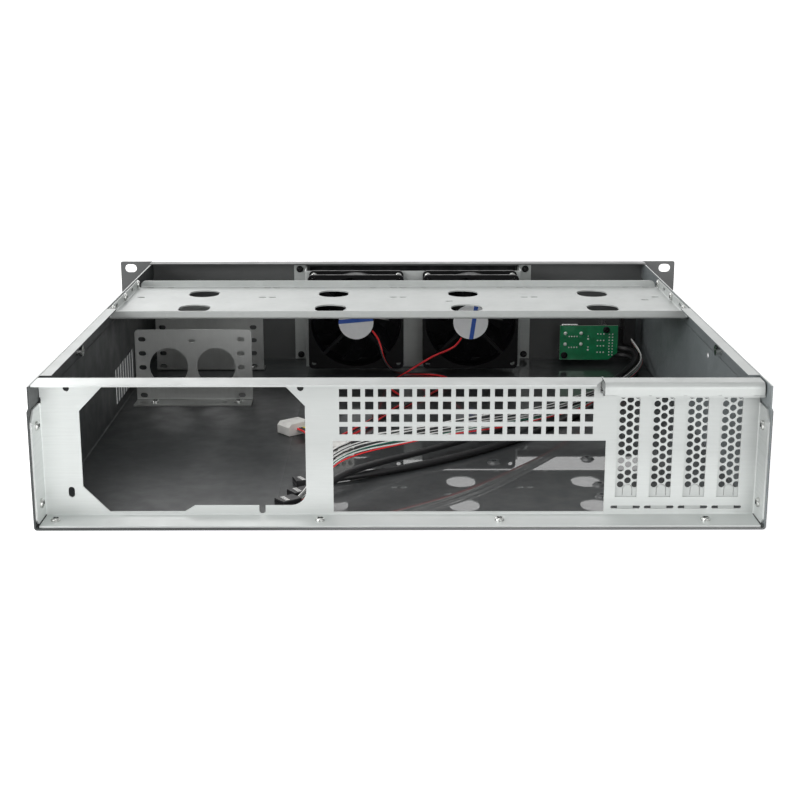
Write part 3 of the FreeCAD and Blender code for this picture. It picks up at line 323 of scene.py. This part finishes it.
MAT["fan_label"] = label_material("fan_label", "fan_label_1", math.radians(-5.0), 0.0015)
MAT["fan_label_side"] = label_material("fan_label_side", "fan_label_2", math.radians(98.0), 0.0026)
CAD_SLOT = {"ribbon_wires": "wire_white"}
for part in frame["record"]["subparts"]:
    obj = NODES[part["node"]]
    name = part["material_slot"]
    obj.data.materials.clear()
    obj.data.materials.append(MAT[CAD_SLOT.get(name, name)])
NODES["fan_label_2"].data.materials[0] = MAT["fan_label_side"]
NODES["rear_panel"].data.materials[0] = MAT["sheet_panel"]
for node in ("fan_rotor_1", "fan_rotor_2"):
    NODES[node].data.materials[0] = MAT["rotor_plastic"]


# ---- mesh helpers -----------------------------------------------------------
def new_object(name, bm, materials, smooth=True, body=ROOT):
    mesh = bpy.data.meshes.new(name)
    bm.to_mesh(mesh)
    bm.free()
    for m in materials:
        mesh.materials.append(MAT[m])
    if smooth:
        mesh.shade_smooth()
    obj = bpy.data.objects.new(name, mesh)
    bpy.context.scene.collection.objects.link(obj)
    if body:
        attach(obj, body)
    return obj


def route_line(points):
    """Points along the smooth line of a route: a NURBS spline with no bevel."""
    curve = route_curve("route", points, 0.0)
    obj = bpy.data.objects.new("route", curve)
    bpy.context.scene.collection.objects.link(obj)
    mesh = bpy.data.meshes.new_from_object(obj)
    line = [v.co.copy() for v in mesh.vertices]
    bpy.data.objects.remove(obj)
    bpy.data.curves.remove(curve)
    bpy.data.meshes.remove(mesh)
    return line


def route_curve(name, points, radius):
    curve = bpy.data.curves.new(name, "CURVE")
    curve.dimensions = "3D"
    curve.resolution_u = 12
    curve.bevel_depth = radius
    curve.bevel_resolution = 5
    curve.use_fill_caps = True
    spline = curve.splines.new("NURBS")
    spline.points.add(len(points) - 1)
    for p, co in zip(spline.points, points):
        p.co = (co[0], co[1], co[2], 1.0)
    spline.order_u = 3
    spline.use_endpoint_u = True
    return curve


def sweep(bm, line, radius, offset, slot, sides=10):
    """Round wire along a line; offset(s, length) gives its place beside the line."""
    total = sum((b - a).length for a, b in zip(line, line[1:]))
    rings = []
    s = 0.0
    for i, p in enumerate(line):
        a = line[max(0, i - 1)]
        b = line[min(len(line) - 1, i + 1)]
        t = (b - a).normalized()
        side = t.cross(Vector((0, 0, 1)))
        side = side.normalized() if side.length > 1e-4 else Vector((1, 0, 0))
        up = side.cross(t).normalized()
        if i:
            s += (p - line[i - 1]).length
        u, v = offset(s, total)
        c = p + side * u + up * v
        ring = []
        for k in range(sides):
            w = 2 * math.pi * k / sides
            ring.append(bm.verts.new(c + side * (radius * math.cos(w)) + up * (radius * math.sin(w))))
        rings.append(ring)
    for r0, r1 in zip(rings, rings[1:]):
        for k in range(sides):
            f = bm.faces.new((r0[k], r0[(k + 1) % sides], r1[(k + 1) % sides], r1[k]))
            f.material_index = slot
    for ring, flip in ((rings[0], False), (rings[-1], True)):
        f = bm.faces.new(ring[::-1] if flip else ring)
        f.material_index = slot


def revolve(bm, profile, centre, axis, slot=0, sides=32):
    """Turned form: profile is (radius, height) pairs from its foot to its crown."""
    axis = Vector(axis).normalized()
    x = axis.orthogonal().normalized()
    y = axis.cross(x)
    rings = []
    for r, h in profile:
        if r < 1e-7:
            rings.append([bm.verts.new(centre + axis * h)])
            continue
        ring = []
        for k in range(sides):
            w = 2 * math.pi * k / sides
            ring.append(bm.verts.new(centre + axis * h + (x * math.cos(w) + y * math.sin(w)) * r))
        rings.append(ring)
    for a, b in zip(rings, rings[1:]):
        for k in range(sides):
            k1 = (k + 1) % sides
            if len(a) == 1 and len(b) > 1:
                f = bm.faces.new((a[0], b[k1], b[k]))
            elif len(b) == 1 and len(a) > 1:
                f = bm.faces.new((a[k], a[k1], b[0]))
            elif len(a) > 1:
                f = bm.faces.new((a[k], a[k1], b[k1], b[k]))
            else:
                continue
            f.material_index = slot
    if len(rings[0]) > 1:
        bm.faces.new(rings[0][::-1]).material_index = slot


# ---- leads and cables -------------------------------------------------------
FAN_LEAD_1 = [
    (0.0227, -0.1687, 0.0382), (0.0182, -0.1642, 0.0344), (0.015, -0.1616, 0.026),
    (0.0124, -0.1606, 0.0145), (0.006, -0.161, 0.0056), (-0.0055, -0.1622, 0.0025),
    (-0.019, -0.1624, 0.0024), (-0.0315, -0.159, 0.0024), (-0.041, -0.1485, 0.0024),
    (-0.0435, -0.1335, 0.0024), (-0.038, -0.114, 0.0024), (-0.0255, -0.092, 0.0024),
    (-0.0135, -0.0695, 0.0024), (0.0075, -0.029, 0.0024), (0.0216, 0.0034, 0.0024),
    (0.0348, 0.0336, 0.0032), (0.0494, 0.0508, 0.0046), (0.0409, 0.0655, 0.0046),
]
FAN_LEAD_2 = [
    (-0.0543, -0.1687, 0.0324), (-0.0506, -0.1639, 0.0269), (-0.0424, -0.1612, 0.0224),
    (-0.0305, -0.1604, 0.0183), (-0.017, -0.1594, 0.0106), (-0.005, -0.1546, 0.0046),
    (0.005, -0.1425, 0.0025), (0.009, -0.125, 0.0024), (0.004, -0.098, 0.0024),
    (-0.0075, -0.0707, 0.0024), (0.0126, -0.0307, 0.0024), (0.027, 0.002, 0.0024),
    (0.04, 0.032, 0.0032), (0.0533, 0.053, 0.0046), (0.0448, 0.06775, 0.0046),
]
POWER_LINK = [
    (0.071, 0.022, 0.0056), (0.0646, 0.0297, 0.0056), (0.0608, 0.0455, 0.0048),
    (0.0595, 0.0634, 0.0046), (0.054, 0.073, 0.0046),
]
USB_CABLE_1 = [
    (-0.18, -0.2036, 0.0154), (-0.1946, -0.2036, 0.0154), (-0.2046, -0.1928, 0.014),
    (-0.203, -0.174, 0.011), (-0.19, -0.15, 0.007), (-0.1715, -0.118, 0.0042),
    (-0.15, -0.078, 0.0038), (-0.122, -0.036, 0.0044), (-0.088, 0.008, 0.0056),
    (-0.052, 0.05, 0.0064), (-0.014, 0.089, 0.0074), (0.02, 0.124, 0.0092),
    (0.037, 0.1465, 0.0098), (0.0475, 0.1585, 0.0044), (0.057, 0.165, 0.0044),
]
USB_CABLE_2 = [
    (-0.18, -0.2036, 0.0096), (-0.1943, -0.2036, 0.0096), (-0.2038, -0.1928, 0.0082),
    (-0.2044, -0.1755, 0.0048), (-0.197, -0.15, 0.0034), (-0.181, -0.114, 0.0034),
    (-0.164, -0.074, 0.0034), (-0.138, -0.028, 0.0034), (-0.106, 0.016, 0.0034),
    (-0.072, 0.057, 0.0034), (-0.04, 0.0855, 0.0034), (-0.008, 0.109, 0.0034),
    (0.023, 0.1275, 0.0036), (0.043, 0.137, 0.0038), (0.055, 0.141, 0.0038),
]
PANEL_HARNESS = [
    (-0.2035, -0.2045, 0.0212), (-0.2035, -0.1905, 0.0212), (-0.208, -0.172, 0.0142),
    (-0.2, -0.142, 0.012), (-0.18, -0.099, 0.011), (-0.1575, -0.0576, 0.012),
    (-0.13, -0.008, 0.0152), (-0.092, 0.042, 0.0202), (-0.05, 0.084, 0.0258),
    (-0.008, 0.117, 0.0276), (0.0285, 0.1452, 0.0285), (0.046, 0.1635, 0.0236),
    (0.0555, 0.1760, 0.0085), (0.0634, 0.1832, 0.0046),
]


def round_cable(name, node, points, radius):
    obj = bpy.data.objects.new(name, route_curve(name, points, radius))
    obj.data.materials.append(MAT["cable_black"])
    bpy.context.scene.collection.objects.link(obj)
    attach(obj, ROOT)
    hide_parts(node)
    return obj


def wire_bundle(name, node, points, wires, radius):
    """Several insulated wires that follow one route; wires is a list of (colour, offset)."""
    line = route_line(points)
    bm = bmesh.new()
    colours = sorted({c for c, _ in wires})
    for colour, offset in wires:
        sweep(bm, line, radius, offset, colours.index(colour))
    obj = new_object(name, bm, colours)
    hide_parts(node)
    return obj


def twisted(radius, phase, pitch):
    """Place of a wire that winds round the route."""
    def place(s, total):
        turn = 2 * math.pi * s / pitch + phase
        return radius * math.cos(turn), radius * math.sin(turn)
    return place


def abreast(k, count, step):
    """Place of wire k in a flat run that keeps its width."""
    def place(s, total):
        return (k - (count - 1) / 2) * step, 0.0
    return place


def side_by_side(k, count, step, tilt):
    """Place of wire k in a flat run that is bunched at first, spreads out and gathers again at its end."""
    def place(s, total):
        e = max(0.0, min(1.0, (s - 0.10) / 0.12, (total - s) / 0.03))
        e = 0.35 + 0.65 * e * e * (3 - 2 * e)
        d = (k - (count - 1) / 2) * step * e
        wobble = 0.0004 * math.sin(s * 55.0 + 1.7 * k) * e
        return d * math.cos(tilt), d * math.sin(tilt) + wobble
    return place


WIRE_R = 0.0008
TWIST_R, TWIST_START, TWIST_PITCH = 0.0004, 1.2, 0.12
LINK_STEP = 0.0017
CABLE_R = 0.0023
FLAT_WIRE_R, FLAT_STEP, FLAT_TILT = 0.00048, 0.00102, math.radians(74)
LINK_RUN = ("wire_yellow", "wire_black", "wire_black", "wire_red")
FLAT_RUN = ("wire_red", "wire_white", "wire_green", "wire_white", "wire_black", "wire_white",
            "wire_black", "wire_white", "wire_black", "wire_white")

for n, pts, length in (("1", FAN_LEAD_1, 0.328), ("2", FAN_LEAD_2, 0.302)):
    pair = [("wire_red", twisted(TWIST_R, TWIST_START, TWIST_PITCH)),
            ("wire_black", twisted(TWIST_R, TWIST_START + math.pi, TWIST_PITCH))]
    wire_bundle("fan_wires_" + n, "fan_lead_" + n, pts, pair, WIRE_R)
four = [(c, abreast(k, len(LINK_RUN), LINK_STEP)) for k, c in enumerate(LINK_RUN)]
wire_bundle("link_wires", "power_link", POWER_LINK, four, WIRE_R)
round_cable("usb_lead_1", "usb_cable_1", USB_CABLE_1, CABLE_R)
round_cable("usb_lead_2", "usb_cable_2", USB_CABLE_2, CABLE_R)
flat = [(c, side_by_side(k, len(FLAT_RUN), FLAT_STEP, FLAT_TILT)) for k, c in enumerate(FLAT_RUN)]
wire_bundle("panel_wires", "panel_harness", PANEL_HARNESS, flat, FLAT_WIRE_R)


# ---- screws -----------------------------------------------------------------
def islands(node):
    """The separate solids of a CAD node, each as a list of points."""
    bm = bmesh.new()
    bm.from_mesh(NODES[node].data)
    bmesh.ops.remove_doubles(bm, verts=bm.verts, dist=1e-6)
    bm.verts.ensure_lookup_table()
    seen = set()
    out = []
    for start in bm.verts:
        if start.index in seen:
            continue
        seen.add(start.index)
        stack = [start]
        group = []
        while stack:
            v = stack.pop()
            group.append(v.co.copy())
            for e in v.link_edges:
                w = e.other_vert(v)
                if w.index not in seen:
                    seen.add(w.index)
                    stack.append(w)
        out.append(group)
    bm.free()
    return out


def screw_head(bm, seat, axis, r, h, slot=0):
    """Pan head with a cross recess sunk into its flat top; the recess takes the next slot."""
    axis = Vector(axis)
    x = axis.orthogonal().normalized()
    y = axis.cross(x)
    arm, wide, deep = 0.66, 0.21, 0.7
    rings = [(1.0, 0.0), (1.0, 0.45), (0.93, 0.72), (0.8, 0.9), (0.66, 1.0)]
    sides = 32
    loops = []
    for fr, fh in rings:
        loop = []
        for k in range(sides):
            w = 2 * math.pi * (k + 0.5) / sides
            loop.append(bm.verts.new(seat + axis * (fh * h) + (x * math.cos(w) + y * math.sin(w)) * fr * r))
        loops.append(loop)
    for a, b in zip(loops, loops[1:]):
        for k in range(sides):
            bm.faces.new((a[k], a[(k + 1) % sides], b[(k + 1) % sides], b[k])).material_index = slot
    bm.faces.new(loops[0][::-1]).material_index = slot
    corner = []
    for q in range(4):
        w = math.pi / 2 * q
        c, s = math.cos(w), math.sin(w)
        for px, py in ((wide, wide), (wide, arm * 0.98), (-wide, arm * 0.98)):
            corner.append(((px * c - py * s) * r, (px * s + py * c) * r))
    top = [bm.verts.new(seat + axis * h + x * px + y * py) for px, py in corner]
    foot = [bm.verts.new(seat + axis * (h * (1 - deep)) + x * px * 0.8 + y * py * 0.6) for px, py in corner]
    n = len(corner)
    # The recess faces take the next slot, which paints shade into the recess.
    for k in range(n):
        bm.faces.new((top[k], top[(k + 1) % n], foot[(k + 1) % n], foot[k])).material_index = slot + 1
    bm.faces.new(foot).material_index = slot + 1
    rim = [bm.edges.get((loops[-1][k], loops[-1][(k + 1) % sides])) for k in range(sides)]
    inner = [bm.edges.get((top[k], top[(k + 1) % n])) for k in range(n)]
    bmesh.ops.triangle_fill(bm, edges=rim + inner, use_beauty=True, use_dissolve=False)


def dress_screws(node, name, axis_of, material):
    bm = bmesh.new()
    for group in islands(node):
        c = sum(group, Vector()) / len(group)
        axis = Vector(axis_of(c))
        reach = [p.dot(axis) for p in group]
        top = max(reach)
        foot = min(reach)
        box_mid = Vector([(min(p[i] for p in group) + max(p[i] for p in group)) / 2 for i in range(3)])
        flat_mid = box_mid - axis * box_mid.dot(axis)
        r = max((p - axis * p.dot(axis) - flat_mid).length for p in group)
        head_foot = top - SCREW_HEAD_H
        seat = flat_mid + axis * head_foot
        screw_head(bm, seat, axis, r, SCREW_HEAD_H)
        revolve(bm, [(SCREW_SHANK_R, foot - head_foot), (SCREW_SHANK_R, 0.0)], seat, axis, 0, 16)
    bmesh.ops.recalc_face_normals(bm, faces=bm.faces)
    # The cross recesses take black_plastic: painted shade in the recess.
    obj = new_object(name, bm, [material, "black_plastic"], smooth=False)
    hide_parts(node)
    return obj


def upright(c):
    return (0, 0, 1)


def rearward(c):
    return (0, 1, 0)


def inward(c):
    return (-1 if c.x > 0 else 1, 0, 0)


def rear_panel_axis(c):
    # Four screws stand in the floor, the others go through the side walls.
    return upright(c) if c.z < 0.006 else inward(c)


dress_screws("rear_panel_screws", "rear_screws", rear_panel_axis, "zinc_screws")
dress_screws("drive_tray_screws", "tray_screws", inward, "zinc_screws")
dress_screws("drive_plate_screws", "plate_screws", upright, "zinc_screws")
dress_screws("fan_bracket_screws", "bracket_screws", rearward, "black_screws")
dress_screws("fan_screws", "fan_corner_screws", rearward, "zinc_screws")
dress_screws("board_screws", "board_corner_screws", rearward, "black_screws")


# ---- front board ------------------------------------------------------------
def board_detail():
    # Solder points on the board's rear face, placed in millimetres from its upper +X corner.
    hi = high("front_io_board")
    bm = bmesh.new()

    def pad(dx, dz, r, h=0.0007):
        c = Vector((hi.x - dx * MM, hi.y, hi.z - dz * MM))
        revolve(bm, [(r * MM, 0.0), (r * MM, 0.0001), (r * 0.6 * MM, h * 0.6), (0.0, h)], c, (0, 1, 0), 0, 12)

    for z in (6.7, 16.3):
        for x in (4.7, 18.3):
            pad(x, z, 1.6, 0.0012)
        for x in (8.0, 10.2, 12.5, 14.8):
            pad(x, z + 2.8, 0.68)
    for z in (9.2, 18.8):
        pad(24.5, z, 0.6)
        pad(24.5, z + 2.5, 0.95)
    for z in (7.3, 13.0, 17.9, 23.4):
        for x in (32.7, 35.3, 38.0):
            pad(x, z, 0.7)
    for r in range(8):
        for x in (42.8, 45.6):
            pad(x, 7.6 + 2.6 * r, 0.65)
    obj = new_object("board_solder", bm, ["solder"])


board_detail()


# ---- small fittings ---------------------------------------------------------
def prism(bm, ring, way, slot=0):
    """Flat outline pushed along a direction into a closed plate."""
    near = [bm.verts.new(p) for p in ring]
    far = [bm.verts.new(Vector(p) + Vector(way)) for p in ring]
    n = len(near)
    bm.faces.new(near).material_index = slot
    bm.faces.new(far[::-1]).material_index = slot
    for k in range(n):
        bm.faces.new((near[k], far[k], far[(k + 1) % n], near[(k + 1) % n])).material_index = slot


def clamp_end():
    # The clamp bar's folded end, closed with a rounded cheek.
    lo, hi = low("slot_clamp_bar"), high("slot_clamp_bar")
    inset, nose, r, steps = 0.0002, 0.0003, 0.0022, 6
    ring = [(hi.x, lo.y + inset, hi.z - inset),
            (hi.x, lo.y + inset, hi.z - 0.0062),
            (hi.x, hi.y - nose, lo.z + 0.0008)]
    for k in range(steps + 1):
        w = math.pi / 2 * k / steps
        ring.append((hi.x, hi.y - nose - r + r * math.cos(w), hi.z - inset - r + r * math.sin(w)))
    thick = 0.0009
    bm = bmesh.new()
    prism(bm, ring, (-thick, 0.0, 0.0))
    bmesh.ops.recalc_face_normals(bm, faces=bm.faces)
    obj = new_object("clamp_bar_end", bm, ["galvanised"], False)


def plug_windows(node, count):
    # Small pale contact windows in a row on a connector's upper face.
    pitch, half_length, half_width, thick = 0.0021, 0.0014, 0.0005, 0.00008
    above = high(node).z + 0.01
    bm = bmesh.new()
    hull = bmesh.new()
    hull.from_mesh(NODES[node].data)
    tree = BVHTree.FromBMesh(hull)
    hull.free()
    c = mid(node)
    along = Vector((1.0, 0.58, 0.0)).normalized()
    across = Vector((-along.y, along.x, 0.0))
    for k in range(count):
        p = c + across * ((k - (count - 1) / 2) * pitch) + along * 0.002
        hit = tree.ray_cast(Vector((p.x, p.y, above)), Vector((0.0, 0.0, -1.0)))[0]
        if hit is None:
            continue
        ring = [hit + along * (a * half_length) + across * (b * half_width)
                for a, b in ((-1, -1), (1, -1), (1, 1), (-1, 1))]
        prism(bm, ring, (0.0, 0.0, thick))
    bmesh.ops.recalc_face_normals(bm, faces=bm.faces)
    obj = new_object(node + "_windows", bm, ["tag_white"], False)


clamp_end()
for node in ("usb_plug_1", "usb_plug_2", "panel_plug"):
    plug_windows(node, 4)


# ---- floor, light and camera ------------------------------------------------
STAGE_HALF = 6.0
FLOOR_GAP = 0.0003
STAGE_RUN = [(STAGE_HALF, 0.0), (-2.2, 0.0), (-3.0, 0.12), (-3.6, 0.6), (-3.8, 1.4), (-3.8, 4.0)]
bm = bmesh.new()
rows = [[bm.verts.new((s * STAGE_HALF, y, z - FLOOR_GAP)) for s in (-1, 1)] for y, z in STAGE_RUN]
for a, b in zip(rows, rows[1:]):
    bm.faces.new((a[0], a[1], b[1], b[0]))
floor = new_object("studio_floor", bm, [], True, None)
stage_mat = Nodes("studio_white", 0.9)
cloud = stage_mat.ramp(stage_mat.noise(3.0, 2.0), 0.0, 1.0)
stage_mat.colour(stage_mat.mix(cloud, (0.90, 0.90, 0.90), (0.92, 0.92, 0.92)))
stage_mat.shader.inputs["Emission Color"].default_value = (1.0, 1.0, 1.0, 1.0)
stage_mat.shader.inputs["Emission Strength"].default_value = 0.6
floor.data.materials.append(stage_mat.mat)

world = bpy.data.worlds.new("studio")
world.use_nodes = True
world.node_tree.nodes["Background"].inputs["Color"].default_value = (1.0, 1.0, 1.0, 1.0)
world.node_tree.nodes["Background"].inputs["Strength"].default_value = 0.46
bpy.context.scene.world = world


def softbox(name, place, target, size, power):
    light = bpy.data.lights.new(name, "AREA")
    light.shape = "RECTANGLE"
    light.size, light.size_y = size
    light.energy = power
    obj = bpy.data.objects.new(name, light)
    obj.location = place
    obj.rotation_euler = (Vector(target) - Vector(place)).to_track_quat("-Z", "Y").to_euler()
    bpy.context.scene.collection.objects.link(obj)


softbox("top_light", (0.5, 0.1, 1.7), (0.0, 0.0, 0.0), (1.8, 1.4), 8.0)
softbox("rear_light", (-1.1, 2.3, 0.4), (0.05, 0.2, 0.04), (1.6, 0.8), 17.0)
softbox("left_light", (1.7, 1.3, 0.7), (-0.1, 0.0, 0.04), (1.0, 0.8), 26.0)
softbox("front_light", (0.9, -1.9, 1.2), (-0.1, 0.05, 0.03), (1.2, 0.8), 6.0)

camera = bpy.data.cameras.new("camera")
camera.lens = 65.48
camera.sensor_width = 36.0
camera.clip_start = 0.05
eye = bpy.data.objects.new("camera", camera)
eye.location = (0.00386, 1.0339, 0.28764)
down, aside = 14.464, 0.259
eye.rotation_euler = (math.radians(90.0 - down), 0.0, math.radians(180.0 - aside))
bpy.context.scene.collection.objects.link(eye)
bpy.context.scene.camera = eye
bpy.context.scene.view_settings.view_transform = "Standard"
